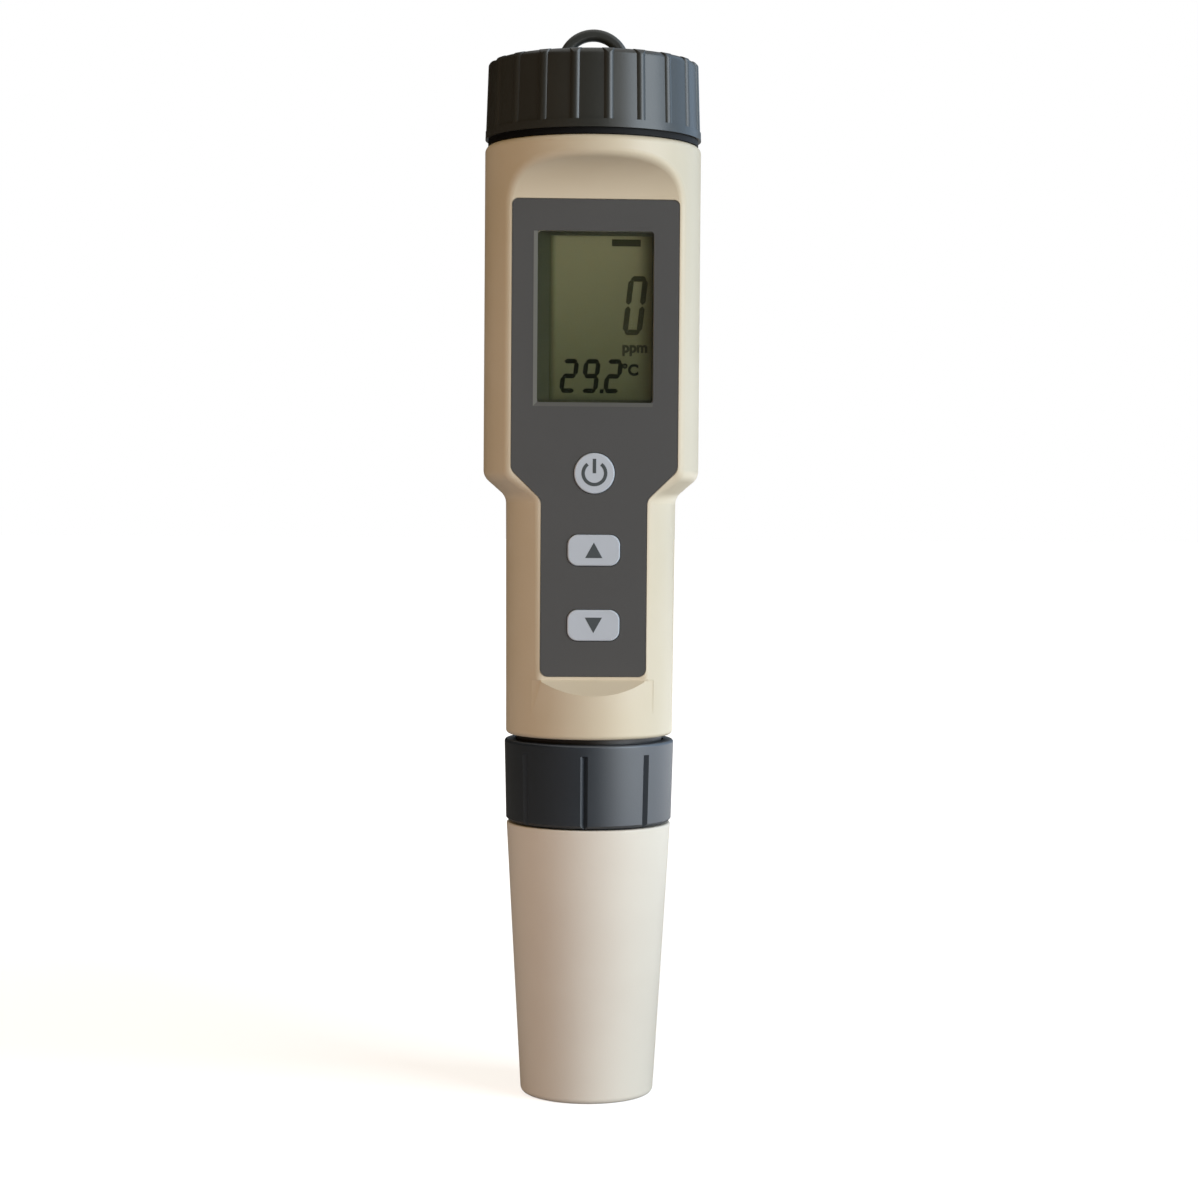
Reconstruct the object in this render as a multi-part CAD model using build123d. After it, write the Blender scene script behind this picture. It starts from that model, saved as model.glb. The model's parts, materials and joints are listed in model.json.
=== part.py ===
from build123d import *
import os
from math import atan2, cos, degrees, pi, sin, sqrt, tan

# A floating pen meter for salinity, standing upright on its protective cap.
# The axis of the barrel is Z, the display faces -Y, and the base is at height 0.
# Sizes are millimetres. A "depth" is a distance from the axis towards the front.

os.makedirs("parts", exist_ok=True)

# How far a cutter runs past the face that it opens, and how far a rib or block of a moulding
# runs into what it is one with
past = 1.0
bite = 0.5

# Protective cap, the long taper that the meter stands on
cap_height = 48.3
cap_foot_radius = 11.75
cap_wall = 1.7
cap_floor = 1.8
cap_edge_round = 1.0
cap_rim_round = 0.3

# Collar, the grooved ring nut that holds the probe
collar_gap = 0.3
collar_height = 14.5
collar_step = 0.25
collar_taper = 0.35
collar_wall = 1.8
collar_lip_height = 2.4
collar_round = 0.5
collar_lead_chamfer = 0.5
collar_groove_count = 8
collar_groove_width = 1.4
collar_groove_top_land = 1.9
collar_groove_phase = -96.0
cap_step = 0.1

# Housing outside
waist_gap = 0.9
waist_foot_radius = 14.75
waist_draft = 0.25
waist_height = 41.9
flare_height = 3.5
flare_round = 2.5
head_radius = 19.0
head_height = 58.0
shoulder_round = 1.2
waist_foot_round = 0.7
flat_depth = 11.4
flat_edge_round = 1.6
ramp_run = 3.4
ramp_drop = 2.6
tongue_run = 6.0
tongue_half = 8.9
tongue_foot_half = 10.6
scoop_margin = 0.2
scoop_drop = 3.7

# Housing inside
side_wall = 1.8
front_wall = 2.0
shoulder_wall = 2.0
floor_thickness = 2.0
floor_rise = 0.5
neck_wall = 1.7
neck_chamfer = 0.4
neck_end_gap = 1.3
rail_thickness = 1.5
rail_grip = 0.7
rail_board_gap = 0.1
rail_head_rise = 3.0
rail_foot_rise = 2.0

# Graphic film on the flat
film_thickness = 0.35
film_recess = 0.4
film_side_gap = 0.1
head_rim = 0.8
waist_rim = 0.6
film_top_drop = 10.3
film_foot_rise = 10.8
film_foot_margin = 0.6
film_knee_low = 0.5
film_knee_high = 1.1
film_top_round = 1.0
film_foot_round = 1.3
film_knee_round = 2.0

# Display window, lens and display
window_side_rim = 4.4
window_key_gap = 8.675
window_drop = 5.5
window_round = 0.6
display_shift = 1.0
lens_side_gap = 0.08
lens_flange = 0.9
lens_flange_thickness = 0.6
display_gap = 0.1
frame_lip_thickness = 0.45
frame_wall = 1.1
frame_round = 1.0
view_side_rim = 1.1
view_end_rim = 0.55
glass_side_cover = 0.5
glass_end_cover = 0.8
glass_thickness = 2.0
glass_gap = 0.05
glass_ledge_spare = 0.4
zebra_height = 0.7
zebra_width = 1.6
zebra_end_gap = 0.4

# Keys and their switches
power_key_diameter = 7.05
power_key_rise = 0.6
key_width = 9.1
key_height = 5.4
key_corner = 1.8
up_key_drop = 13.3
down_key_drop = 13.0
key_proud = 0.25
key_film_gap = 0.12
key_wall_gap = 0.2
key_rest_gap = 0.2
key_flange = 0.7
key_flange_thickness = 0.7
key_edge_round = 0.25
key_travel = 0.35
key_stem_radius = 1.4
switch_size = 6.0
switch_height = 1.8
switch_well_depth = 1.0
switch_round = 0.5
plunger_radius = 1.55
plunger_gap = 0.08
plunger_rise = 0.7
plunger_spare = 0.1

# Circuit board
board_thickness = 1.6
board_frame_margin = 1.3
board_waist_width = 21.0
board_top_drop = 4.4
board_seat_gap = 0.05
board_shoulder_gap = 0.9
chip_size = 7.0
chip_height = 1.0
amplifier_width = 5.0
amplifier_length = 4.0

# Battery cap
battery_cap_height = 13.5
battery_cap_taper = 0.45
battery_cap_roof = 2.2
battery_cap_wall = 1.65
battery_cap_round = 1.1
rim_band_height = 1.4
rib_count = 20
rib_height = 0.35
rib_radius = 1.05
rib_phase = -85.0
thread_gap = 0.3
loop_inner_radius = 4.5
loop_outer_radius = 6.45
loop_thickness = 2.6
loop_sink = 0.45
loop_round = 0.7
pad_radius = 9.0
pad_thickness = 2.4
seat_gap = 0.05

# Seals
cap_seal_thickness = 1.1
cap_seal_inset = 0.5
cap_seal_side_gap = 0.1
ring_cord_radius = 0.5
ring_groove_gap = 0.02
ring_squeeze_gap = 0.1
neck_ring_rise = 3.1
grip_cord_radius = 0.75
grip_ring_drop = 3.6

# Battery stack
cell_diameter = 11.6
cell_height = 5.4
cell_count = 4
cell_side_gap = 0.15
cell_gap = 0.02
cell_lid_height = 0.6
cell_lid_step = 0.9
stack_drop = 1.6
sleeve_wall = 1.2
sleeve_board_gap = 0.6
carrier_floor = 1.5
carrier_flange = 1.5
carrier_side_gap = 0.3
contact_thickness = 0.4
contact_width = 5.0
contact_dimple_radius = 2.0
contact_dimple_gap = 0.05
leaf_rise = 3.0
leaf_thickness = 0.3
leaf_width = 4.0
leaf_side_gap = 1.8
leaf_fold = 1.5
leaf_root_rise = 0.66
leaf_tip = 1.5
leaf_tip_inset = 1.0
screw_head_radius = 1.75
screw_head_height = 1.4
screw_head_drop = 1.8
screw_radius = 0.95
screw_hole_gap = 0.05
screw_pass_gap = 0.1
screw_length = 4.5
boss_wall = 1.35
boss_wall_bite = 0.2
boss_length = 6.0

# Probe
spigot_wall = 2.3
spigot_end_gap = 0.1
plug_gap = 0.3
plug_end_gap = 0.35
flange_thickness = 2.6
flange_side_gap = 0.25
stem_lip_gap = 0.25
stem_cap_gap = 0.45
stem_length = 8.6
head_gap = 1.85
head_cone = 3.0
head_edge_round = 0.8
pin_floor_gap = 6.2
pin_reach = 6.0
pin_radius = 0.9
pin_offset = 4.0
pin_root = 3.5
pin_fit = 0.03
pin_tip_share = 0.6
sleeve_reach = 4.5
sleeve_radius = 1.2
dog_width = 2.6
dog_height = 1.2
dog_gap = 0.2
dog_setback = 0.4
contact_pin_radius = 0.55
contact_pin_length = 4.6
contact_pin_root = 3.6
contact_end_gap = 0.3
contact_pitch_radius = 3.2
contact_pin_count = 4
socket_fit = 0.07
socket_radius = 6.0
socket_side_gap = 0.1
socket_nose = 1.5
socket_flange = 1.6
socket_flange_thickness = 1.5
socket_block_width = 13.0
socket_block_depth = 5.9
socket_block_height = 5.5

# Heights worked out from the sizes above, from the base up
z_collar = cap_height + collar_gap
z_lip = z_collar + collar_lip_height
z_flange = z_lip + seat_gap
z_flange_top = z_flange + flange_thickness
z_spigot = z_flange_top + spigot_end_gap
z_collar_top = z_collar + collar_height
z_waist = z_collar_top + waist_gap
z_floor = z_waist + floor_rise
z_floor_under = z_floor - floor_thickness
z_socket = z_floor_under - socket_nose
z_plug_top = z_socket - plug_end_gap
z_flare = z_waist + waist_height
z_head = z_flare + flare_height
z_shoulder = z_head + head_height
z_seal_top = z_shoulder + cap_seal_thickness
z_cap_top = z_seal_top + battery_cap_height
z_roof = z_cap_top - battery_cap_roof
z_neck = z_roof - neck_end_gap

# Radii worked out from the sizes above
waist_radius = waist_foot_radius + waist_draft
collar_radius = waist_foot_radius + collar_step
collar_foot_radius = collar_radius - collar_taper
cap_rim_radius = collar_foot_radius - cap_step
thread_radius = collar_radius - collar_wall
spigot_radius = thread_radius - thread_gap
spigot_bore = spigot_radius - spigot_wall
plug_radius = spigot_bore - plug_gap
flange_radius = thread_radius - flange_side_gap
waist_cavity_radius = waist_foot_radius - side_wall
head_cavity_radius = head_radius - side_wall
cap_core_radius = head_radius - rib_height
cap_bore = cap_core_radius - battery_cap_wall
neck_radius = cap_bore - thread_gap
neck_bore = neck_radius - neck_wall

# Depths of what lies behind the flat, from the front to the back
film_seat = flat_depth - film_recess
film_face = film_seat + film_thickness
wall_back = flat_depth - front_wall
lens_back = wall_back - lens_flange_thickness
frame_front = lens_back - display_gap
glass_front = frame_front - frame_lip_thickness - glass_gap
glass_back = glass_front - glass_thickness
board_front = glass_back - zebra_height
board_back = board_front - board_thickness
key_face = film_face + key_proud
key_flange_front = wall_back - key_rest_gap
key_flange_back = key_flange_front - key_flange_thickness
switch_front = board_front + switch_height
plunger_front = switch_front + plunger_rise
plunger_back = switch_front - switch_well_depth + key_travel + plunger_spare

# Places of the features on the flat
scoop_radius = head_radius - flat_depth + scoop_margin
z_scoop_top = z_shoulder - scoop_drop
z_scoop = z_scoop_top - scoop_radius
z_film_top = z_shoulder - film_top_drop
z_film_foot = z_waist + film_foot_rise
z_flat_foot = z_film_foot - film_foot_margin
z_power_key = z_head + power_key_rise
z_window_top = z_film_top - window_drop
z_window_foot = z_power_key + power_key_diameter / 2 + window_key_gap
z_window = (z_window_top + z_window_foot) / 2
z_up_key = z_power_key - up_key_drop
z_down_key = z_up_key - down_key_drop
z_tongue_foot = z_flat_foot - tongue_run
film_head_half = sqrt(head_radius ** 2 - flat_depth ** 2) - head_rim
film_waist_half = sqrt(waist_radius ** 2 - flat_depth ** 2) - waist_rim

# Widths and heights of the window and of what lies behind it
window_width = 2 * (film_head_half - window_side_rim)
window_height = z_window_top - z_window_foot
view_width = window_width - 2 * view_side_rim
view_height = window_height - 2 * view_end_rim
glass_width = window_width + 2 * glass_side_cover
glass_height = window_height + 2 * glass_end_cover
zebra_length = glass_width - 2 * zebra_end_gap
frame_room_width = glass_width + 4 * glass_gap
frame_room_height = glass_height + 4 * glass_gap
frame_width = frame_room_width + 2 * frame_wall
frame_height = frame_room_height + 2 * frame_wall
board_head_width = frame_width + 2 * (display_shift + board_frame_margin)

# Heights of the board and the battery stack
z_socket_block = z_floor + seat_gap + socket_flange_thickness
z_board = z_socket_block + board_seat_gap
z_board_top = z_shoulder - board_top_drop
z_board_shoulder = z_head + board_shoulder_gap
z_screw_head = z_neck - screw_head_drop
z_contact_top = z_screw_head - screw_head_height
z_carrier_top = z_contact_top - contact_thickness
z_boss = z_carrier_top - carrier_flange
sleeve_bore = cell_diameter / 2 + cell_side_gap
sleeve_outer = sleeve_bore + sleeve_wall
sleeve_depth = board_back - sleeve_board_gap - sleeve_outer
stack_height = cell_count * cell_height + (cell_count - 1) * cell_gap
z_stack_top = z_carrier_top - stack_drop
z_stack = z_stack_top - stack_height
z_carrier = z_stack - leaf_rise - carrier_floor
boss_radius = screw_radius + boss_wall
boss_reach = neck_bore + boss_wall_bite - boss_radius
boss_x = sqrt(boss_reach ** 2 - sleeve_depth ** 2)


def cap_outer_radius(height):
    """Outside radius of the protective cap at a height above the base."""
    return cap_foot_radius + (cap_rim_radius - cap_foot_radius) * height / cap_height


def cap_inner_radius(height):
    """Inside radius of the protective cap at a height above the base."""
    return cap_outer_radius(height) - cap_wall


z_stem_foot = z_collar - stem_length
z_probe_head = cap_floor + pin_floor_gap + pin_reach
stem_radius = cap_inner_radius(z_stem_foot) - stem_cap_gap
probe_head_radius = cap_inner_radius(z_probe_head) - head_gap
lip_bore = stem_radius + stem_lip_gap

# Heights and radii of the ring seals, each by the wall that it seals against
z_neck_ring = z_shoulder + neck_ring_rise
neck_ring_radius = cap_bore - ring_squeeze_gap - ring_cord_radius
z_socket_ring = z_floor - floor_thickness / 2
socket_ring_radius = socket_radius + socket_side_gap - ring_cord_radius - ring_groove_gap
z_plug_ring = (z_flange_top + dog_height + z_plug_top) / 2
plug_ring_radius = spigot_bore - ring_squeeze_gap - ring_cord_radius
z_grip_ring = z_collar - grip_ring_drop
grip_ring_radius = cap_inner_radius(z_grip_ring) - ring_squeeze_gap - grip_cord_radius


def turned(points, rounds=()):
    """A solid turned about the axis from (radius, height) points.

    Each round is the point's radius and height and the size of its rounding."""
    outline = make_face(Plane.XZ * Polyline(*points, close=True))
    for radius, height, size in rounds:
        corner = outline.vertices().sort_by_distance((radius, 0, height))[0]
        outline = fillet(corner, size)
    return revolve(outline, Axis.Z)


def disc(radius, low, high, x=0.0, y=0.0):
    """An upright cylinder between two heights."""
    return Pos(x, y, low) * Cylinder(radius, high - low, align=(Align.CENTER, Align.CENTER, Align.MIN))


def tube(outer, inner, low, high, x=0.0, y=0.0):
    """An upright tube between two heights."""
    return disc(outer, low, high, x, y) - disc(inner, low, high, x, y)


def block(x_low, x_high, y_low, y_high, z_low, z_high):
    """A box between two corners."""
    corner = (Align.MIN, Align.MIN, Align.MIN)
    return Pos(x_low, y_low, z_low) * Box(x_high - x_low, y_high - y_low, z_high - z_low, align=corner)


def front_plane(depth):
    """The drawing plane of the display side: X to the right, Z up, at a depth."""
    return Plane(origin=(0, -depth, 0), x_dir=(1, 0, 0), z_dir=(0, -1, 0))


def slab(sketch, back, front):
    """A sketch of the display side made solid between two depths."""
    return extrude(front_plane(back) * sketch, front - back)


def rounded_window(width, height, corner, z_middle, x_middle=0.0):
    """A rectangle with rounded corners, drawn on the display side."""
    return Pos(x_middle, z_middle) * RectangleRounded(width, height, corner)


def ring_seal(radius, height, cord_radius):
    """A ring of round rubber cord about the axis."""
    return Pos(0, 0, height) * Torus(radius, cord_radius)


def ring_groove(radius, height, cord_radius):
    """What a shaft loses for a ring seal: a square groove, deep enough for the cord."""
    half = cord_radius + ring_groove_gap
    return tube(radius + 2 * cord_radius, radius - half, height - half, height + half)


def film_outline():
    """Outline of the graphic film, wide over the head and narrow over the waist."""
    right = [
        (film_waist_half, z_film_foot),
        (film_waist_half, z_flare - film_knee_low),
        (film_head_half, z_head + film_knee_high),
        (film_head_half, z_film_top),
    ]
    left = [(-x, z) for x, z in reversed(right)]
    outline = make_face(Polyline(*right, *left, close=True))
    sizes = (film_foot_round, film_knee_round, film_knee_round, film_top_round)
    for (x, z), size in zip(right, sizes):
        for side in (x, -x):
            corner = outline.vertices().sort_by_distance((side, z, 0))[0]
            outline = fillet(corner, size)
    return outline


def window_opening():
    """The opening for the lens, a running gap larger all round."""
    return rounded_window(window_width + 2 * lens_side_gap, window_height + 2 * lens_side_gap,
                          window_round + lens_side_gap, z_window)


def key_outline(z_middle, growth=0.0):
    """Outline of the round or oblong key at a height, grown by a gap all round."""
    if z_middle == z_power_key:
        return Pos(0, z_middle) * Circle(power_key_diameter / 2 + growth)
    width = key_width + 2 * growth
    height = key_height + 2 * growth
    return rounded_window(width, height, key_corner + growth, z_middle)


key_heights = {"power": z_power_key, "up": z_up_key, "down": z_down_key}


def barrel():
    """The housing's outside, turned, with the flat, its ramp and its scoop cut and rounded."""
    body = turned(
        [(0, z_waist), (waist_foot_radius, z_waist), (waist_radius, z_flare),
         (head_radius, z_head), (head_radius, z_shoulder), (0, z_shoulder)],
        [(waist_foot_radius, z_waist, waist_foot_round), (waist_radius, z_flare, flare_round),
         (head_radius, z_head, flare_round), (head_radius, z_shoulder, shoulder_round)])
    outside = -(head_radius + ramp_run)
    z_ramp_end = z_flat_foot - (-outside - flat_depth) * ramp_drop / ramp_run
    scoop_centre = -(flat_depth + scoop_radius)
    halfway = scoop_radius * cos(pi / 4)
    side = make_face([Plane.YZ * line for line in (
        Line((outside, z_ramp_end), (-flat_depth, z_flat_foot)),
        Line((-flat_depth, z_flat_foot), (-flat_depth, z_scoop)),
        ThreePointArc((-flat_depth, z_scoop), (scoop_centre + halfway, z_scoop + halfway),
                      (scoop_centre, z_scoop_top)),
        Line((scoop_centre, z_scoop_top), (outside, z_scoop_top)),
        Line((outside, z_scoop_top), (outside, z_ramp_end)))])
    body = body - extrude(side, head_radius * 2, both=True)
    front = body.faces().filter_by(lambda f: abs(f.center().Y + flat_depth) < 0.001)
    scoop = body.faces().filter_by(GeomType.CYLINDER).filter_by(
        lambda f: f.center().Y < -flat_depth and z_scoop < f.center().Z < z_scoop_top)
    rim = []
    for edge in (front + scoop).edges():
        size = edge.bounding_box().size
        if size.Z > 0.01 or size.Y > 0.01:
            rim.append(edge)
    body = fillet(rim, flat_edge_round)
    for side in (1, -1):
        body -= tongue_strip(side)
    return body


def tongue_strip(side):
    """What a side of the flat loses below its foot: a strip that narrows to a point, beside the tongue."""
    foot_depth = sqrt(waist_foot_radius ** 2 - tongue_foot_half ** 2)
    outline = make_face(Polyline((side * tongue_half, z_flat_foot), (side * tongue_foot_half, z_flat_foot),
                                 (side * tongue_foot_half, z_tongue_foot), close=True))
    bed = make_face(Plane.XY * Polyline(
        (side * tongue_half, -flat_depth), (side * tongue_foot_half, -foot_depth),
        (side * tongue_foot_half, -head_radius), (side * tongue_half, -head_radius), close=True))
    return slab(outline, 0, head_radius) & (Pos(0, 0, z_tongue_foot - past) * extrude(
        bed, tongue_run + 2 * past, dir=(0, 0, 1)))


def cavity():
    """The hollow of the housing, flat behind the display side, open at the neck."""
    flare_angle = atan2(head_cavity_radius - waist_cavity_radius, flare_height)
    knee_shift = side_wall * tan(flare_angle / 2)
    hollow = turned([
        (0, z_floor), (waist_cavity_radius, z_floor), (waist_cavity_radius, z_flare + knee_shift),
        (head_cavity_radius, z_head + knee_shift), (head_cavity_radius, z_shoulder - shoulder_wall),
        (neck_bore, z_shoulder - shoulder_wall), (neck_bore, z_neck + past), (0, z_neck + past)])
    reach = head_radius + past
    return hollow - block(-reach, reach, -reach, -wall_back, z_floor - past, z_shoulder - shoulder_wall)


def board_rails():
    """Ribs in the hollow that guide the board's edges in the head and in the waist."""
    rails = []
    reach = head_radius
    z_rail_head = z_board_shoulder + rail_head_rise
    z_rail_foot = z_board + rail_foot_rise
    for width, low, high in ((board_head_width, z_rail_head, z_shoulder - shoulder_wall),
                             (board_waist_width, z_rail_foot, z_flare - rail_foot_rise)):
        inner = width / 2 - rail_grip
        for front in (board_front + rail_board_gap + rail_thickness, board_back - rail_board_gap):
            for x_low, x_high in ((-reach, -inner), (inner, reach)):
                rails.append(block(x_low, x_high, -front, rail_thickness - front, low, high))
    return rails


def housing():
    """Barrel, neck and spigot in one moulding, hollow, with the front's openings."""
    neck = turned([
        (0, z_shoulder - bite), (neck_radius, z_shoulder - bite),
        (neck_radius, z_neck - neck_chamfer), (neck_radius - neck_chamfer, z_neck), (0, z_neck)])
    spigot = turned([
        (0, z_spigot), (spigot_radius - neck_chamfer, z_spigot),
        (spigot_radius, z_spigot + neck_chamfer), (spigot_radius, z_waist + bite), (0, z_waist + bite)])
    plug_room = disc(spigot_bore, z_spigot - past, z_floor_under)
    bosses = [disc(boss_radius, z_boss - boss_length, z_boss, side * boss_x, -sleeve_depth)
              for side in (1, -1)]
    hollow = cavity() - board_rails() - bosses
    shell = barrel() + neck + spigot - plug_room - hollow
    shell -= slab(offset(film_outline(), film_side_gap), film_seat, flat_depth + past)
    shell -= slab(window_opening(), wall_back - past, flat_depth)
    for height in key_heights.values():
        shell -= slab(key_outline(height, key_wall_gap), wall_back - past, flat_depth)
    shell -= disc(socket_radius + socket_side_gap, z_floor_under - past, z_floor + past)
    pilot = screw_radius + screw_hole_gap
    for side in (1, -1):
        shell -= disc(pilot, z_carrier_top - screw_length - past, z_boss + past,
                      side * boss_x, -sleeve_depth)
    shell -= ring_groove(neck_ring_radius, z_neck_ring, ring_cord_radius)
    for angle in (0, 180):
        notch_half = dog_width / 2 + dog_gap
        shell -= Rot(0, 0, angle) * block(spigot_bore - past, spigot_radius + past, -notch_half, notch_half,
                                          z_spigot - past, z_spigot + dog_height + dog_gap)
    return shell


def front_overlay():
    """Graphic film with its window and the holes for the keys."""
    film = film_outline() - window_opening()
    for height in key_heights.values():
        film -= key_outline(height, key_film_gap)
    return slab(film, film_seat, film_face)


def window_lens():
    """Clear block that fills the window, with a flange bonded behind the wall."""
    pane = slab(rounded_window(window_width, window_height, window_round, z_window), wall_back, film_face)
    flange = slab(rounded_window(window_width + 2 * lens_flange, window_height + 2 * lens_flange,
                                 window_round + lens_flange, z_window), lens_back, wall_back)
    return pane + flange


def lcd_glass():
    """The display: two bonded sheets of glass, the front one shorter to bare the contacts."""
    sheet = glass_thickness / 2
    ledge = zebra_width + glass_ledge_spare
    middle = Pos(display_shift, z_window)
    back = slab(middle * Rectangle(glass_width, glass_height), glass_back, glass_back + sheet)
    front = slab(middle * Rectangle(glass_width, glass_height - ledge), glass_back + sheet, glass_front)
    return back + front


def lcd_frame():
    """Frame around the display, with a lip in front of its edges, standing on the board."""
    middle = Pos(display_shift, z_window)
    outside = rounded_window(frame_width, frame_height, frame_round, z_window, display_shift)
    room = middle * Rectangle(frame_room_width, frame_room_height)
    view = middle * Rectangle(view_width, view_height)
    frame = slab(outside, board_front, frame_front)
    frame -= slab(room, board_front - past, frame_front - frame_lip_thickness)
    return frame - slab(view, board_front, frame_front + past)


def zebra_strips():
    """Two conductive rubber strips between the display's edges and the board."""
    offset_z = (glass_height - zebra_width) / 2
    strip = Rectangle(zebra_length, zebra_width)
    return Compound([slab(Pos(display_shift, z_window + side * offset_z) * strip, board_front, glass_back)
                     for side in (1, -1)])


def circuit_board():
    """Board with a wide head behind the display and a narrow tail behind the keys."""
    head = board_head_width / 2
    tail = board_waist_width / 2
    points = [(tail, z_board), (tail, z_board_shoulder), (head, z_board_shoulder + head - tail),
              (head, z_board_top)]
    mirrored = [(-x, z) for x, z in reversed(points)]
    return slab(make_face(Polyline(*points, *mirrored, close=True)), board_back, board_front)


def board_chips():
    """Controller and amplifier packages on the back of the board."""
    front = -board_back
    chips = [
        block(-chip_size / 2, chip_size / 2, front, front + chip_height,
              z_up_key - chip_size / 2, z_up_key + chip_size / 2),
        block(-amplifier_width / 2, amplifier_width / 2, front, front + chip_height,
              z_down_key - amplifier_length / 2, z_down_key + amplifier_length / 2)]
    return Compound(chips)


def key_switches():
    """Three switch bodies on the board, each with a well for its plunger."""
    switches = []
    for height in key_heights.values():
        case = slab(rounded_window(switch_size, switch_size, switch_round, height), board_front, switch_front)
        well = slab(Pos(0, height) * Circle(plunger_radius + plunger_gap),
                    switch_front - switch_well_depth, switch_front + past)
        switches.append(case - well)
    return Compound(switches)


def key(height):
    """A key that shows through the film, with a flange behind the wall and a stem."""
    cap = slab(key_outline(height), key_flange_back, key_face)
    face = cap.faces().sort_by(Axis.Y)[0]
    cap = fillet(face.edges(), key_edge_round)
    flange = slab(key_outline(height, key_flange), key_flange_back, key_flange_front)
    stem = slab(Pos(0, height) * Circle(key_stem_radius), plunger_front, key_flange_back)
    return cap + flange + stem


def plunger(height):
    """The moving plunger of a switch."""
    return slab(Pos(0, height) * Circle(plunger_radius), plunger_back, plunger_front)


def battery_carrier():
    """Tube for the cells with a floor, and a flange that rests on the neck's bosses."""
    flange = disc(neck_bore - carrier_side_gap, z_boss, z_carrier_top)
    sleeve = disc(sleeve_outer, z_carrier, z_carrier_top, 0, -sleeve_depth)
    room = disc(sleeve_bore, z_carrier + carrier_floor, z_carrier_top + past, 0, -sleeve_depth)
    carrier = flange + sleeve - room
    for side in (1, -1):
        carrier -= disc(screw_radius + screw_pass_gap, z_boss - past, z_carrier_top + past,
                        side * boss_x, -sleeve_depth)
    return carrier


def button_cells():
    """Four button cells in one stack, each a can with a smaller stepped lid below."""
    cells = []
    radius = cell_diameter / 2
    for number in range(cell_count):
        low = z_stack + number * (cell_height + cell_gap)
        can = disc(radius, low + cell_lid_height, low + cell_height, 0, -sleeve_depth)
        lid = disc(radius - cell_lid_step, low, low + cell_lid_height, 0, -sleeve_depth)
        cells.append(can + lid)
    return Compound(cells)


def battery_leaf_spring():
    """Bent leaf on the carrier's floor that presses on the lowest cell."""
    low = z_carrier + carrier_floor
    half = sleeve_bore - leaf_side_gap
    tip = half - leaf_tip_inset
    bend = tip - leaf_tip
    outline = [
        (-half, low), (half, low), (half, low + leaf_thickness), (-half + leaf_fold, low + leaf_thickness),
        (bend, z_stack - leaf_thickness), (tip, z_stack - leaf_thickness), (tip, z_stack), (bend, z_stack),
        (-half, low + leaf_root_rise)]
    leaf = extrude(make_face(Plane.XZ * Polyline(*outline, close=True)), leaf_width / 2, both=True)
    return Pos(0, -sleeve_depth, 0) * leaf


def battery_contact_plate():
    """Upper contact strip with a pressed dimple that meets the top cell."""
    end = boss_x + screw_head_radius
    strip = block(-end, end, -sleeve_depth - contact_width / 2, -sleeve_depth + contact_width / 2,
                  z_carrier_top, z_contact_top)
    strip = strip & disc(neck_bore - carrier_side_gap, z_carrier_top, z_contact_top)
    dimple = disc(contact_dimple_radius, z_stack_top + contact_dimple_gap, z_contact_top, 0, -sleeve_depth)
    plate = strip + dimple
    for side in (1, -1):
        plate -= disc(screw_radius + screw_pass_gap, z_carrier_top - past, z_contact_top + past,
                      side * boss_x, -sleeve_depth)
    return plate


def carrier_screws():
    """Two screws through the contact strip and the carrier into the bosses."""
    screws = []
    for side in (1, -1):
        head = disc(screw_head_radius, z_contact_top, z_screw_head, side * boss_x, -sleeve_depth)
        shank = disc(screw_radius, z_carrier_top - screw_length, z_contact_top,
                     side * boss_x, -sleeve_depth)
        screws.append(head + shank)
    return Compound(screws)


def cap_seal():
    """Flat black ring between the battery cap and the shoulder, wide enough to pass the neck's ring seal."""
    return tube(head_radius - cap_seal_inset, cap_bore + cap_seal_side_gap,
                z_shoulder + seat_gap, z_seal_top - seat_gap)


def battery_cap():
    """Ribbed screw cap with a plain rim band and the lanyard loop."""
    top_radius = cap_core_radius - battery_cap_taper
    core = turned([(0, z_seal_top), (cap_core_radius, z_seal_top), (top_radius, z_cap_top), (0, z_cap_top)],
                  [(top_radius, z_cap_top, battery_cap_round)])
    z_band = z_seal_top + rim_band_height
    band_radius = cap_core_radius - battery_cap_taper * rim_band_height / battery_cap_height + rib_height
    band = turned([(0, z_seal_top), (head_radius, z_seal_top), (band_radius, z_band), (0, z_band)])
    rib_top_radius = top_radius + rib_height
    envelope = turned([(0, z_band - bite), (head_radius, z_band - bite), (rib_top_radius, z_cap_top),
                       (0, z_cap_top)], [(rib_top_radius, z_cap_top, battery_cap_round)])
    lean = degrees(atan2(battery_cap_taper, battery_cap_height))
    rod = Pos(cap_core_radius + rib_height - rib_radius, 0, z_seal_top) * Rot(0, -lean, 0) * Cylinder(
        rib_radius, 2 * (battery_cap_height + past))
    ribs = [(Rot(0, 0, rib_phase + number * 360 / rib_count) * rod) & envelope for number in range(rib_count)]
    cap = core + band + ribs - disc(cap_bore, z_seal_top - past, z_roof)
    loop_z = z_cap_top - loop_sink
    section = Plane.XZ * Pos((loop_inner_radius + loop_outer_radius) / 2, 0) * RectangleRounded(
        loop_outer_radius - loop_inner_radius, loop_thickness, loop_round)
    loop = revolve(section, Axis.Z)
    loop = Pos(0, 0, loop_z) * Rot(90, 0, 0) * loop
    reach = loop_outer_radius + past
    loop = loop & block(-reach, reach, -reach, reach, loop_z, loop_z + reach)
    return cap + loop


def cap_pad():
    """Round rubber pad under the cap's roof."""
    return disc(pad_radius, z_roof - pad_thickness, z_roof)


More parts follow.
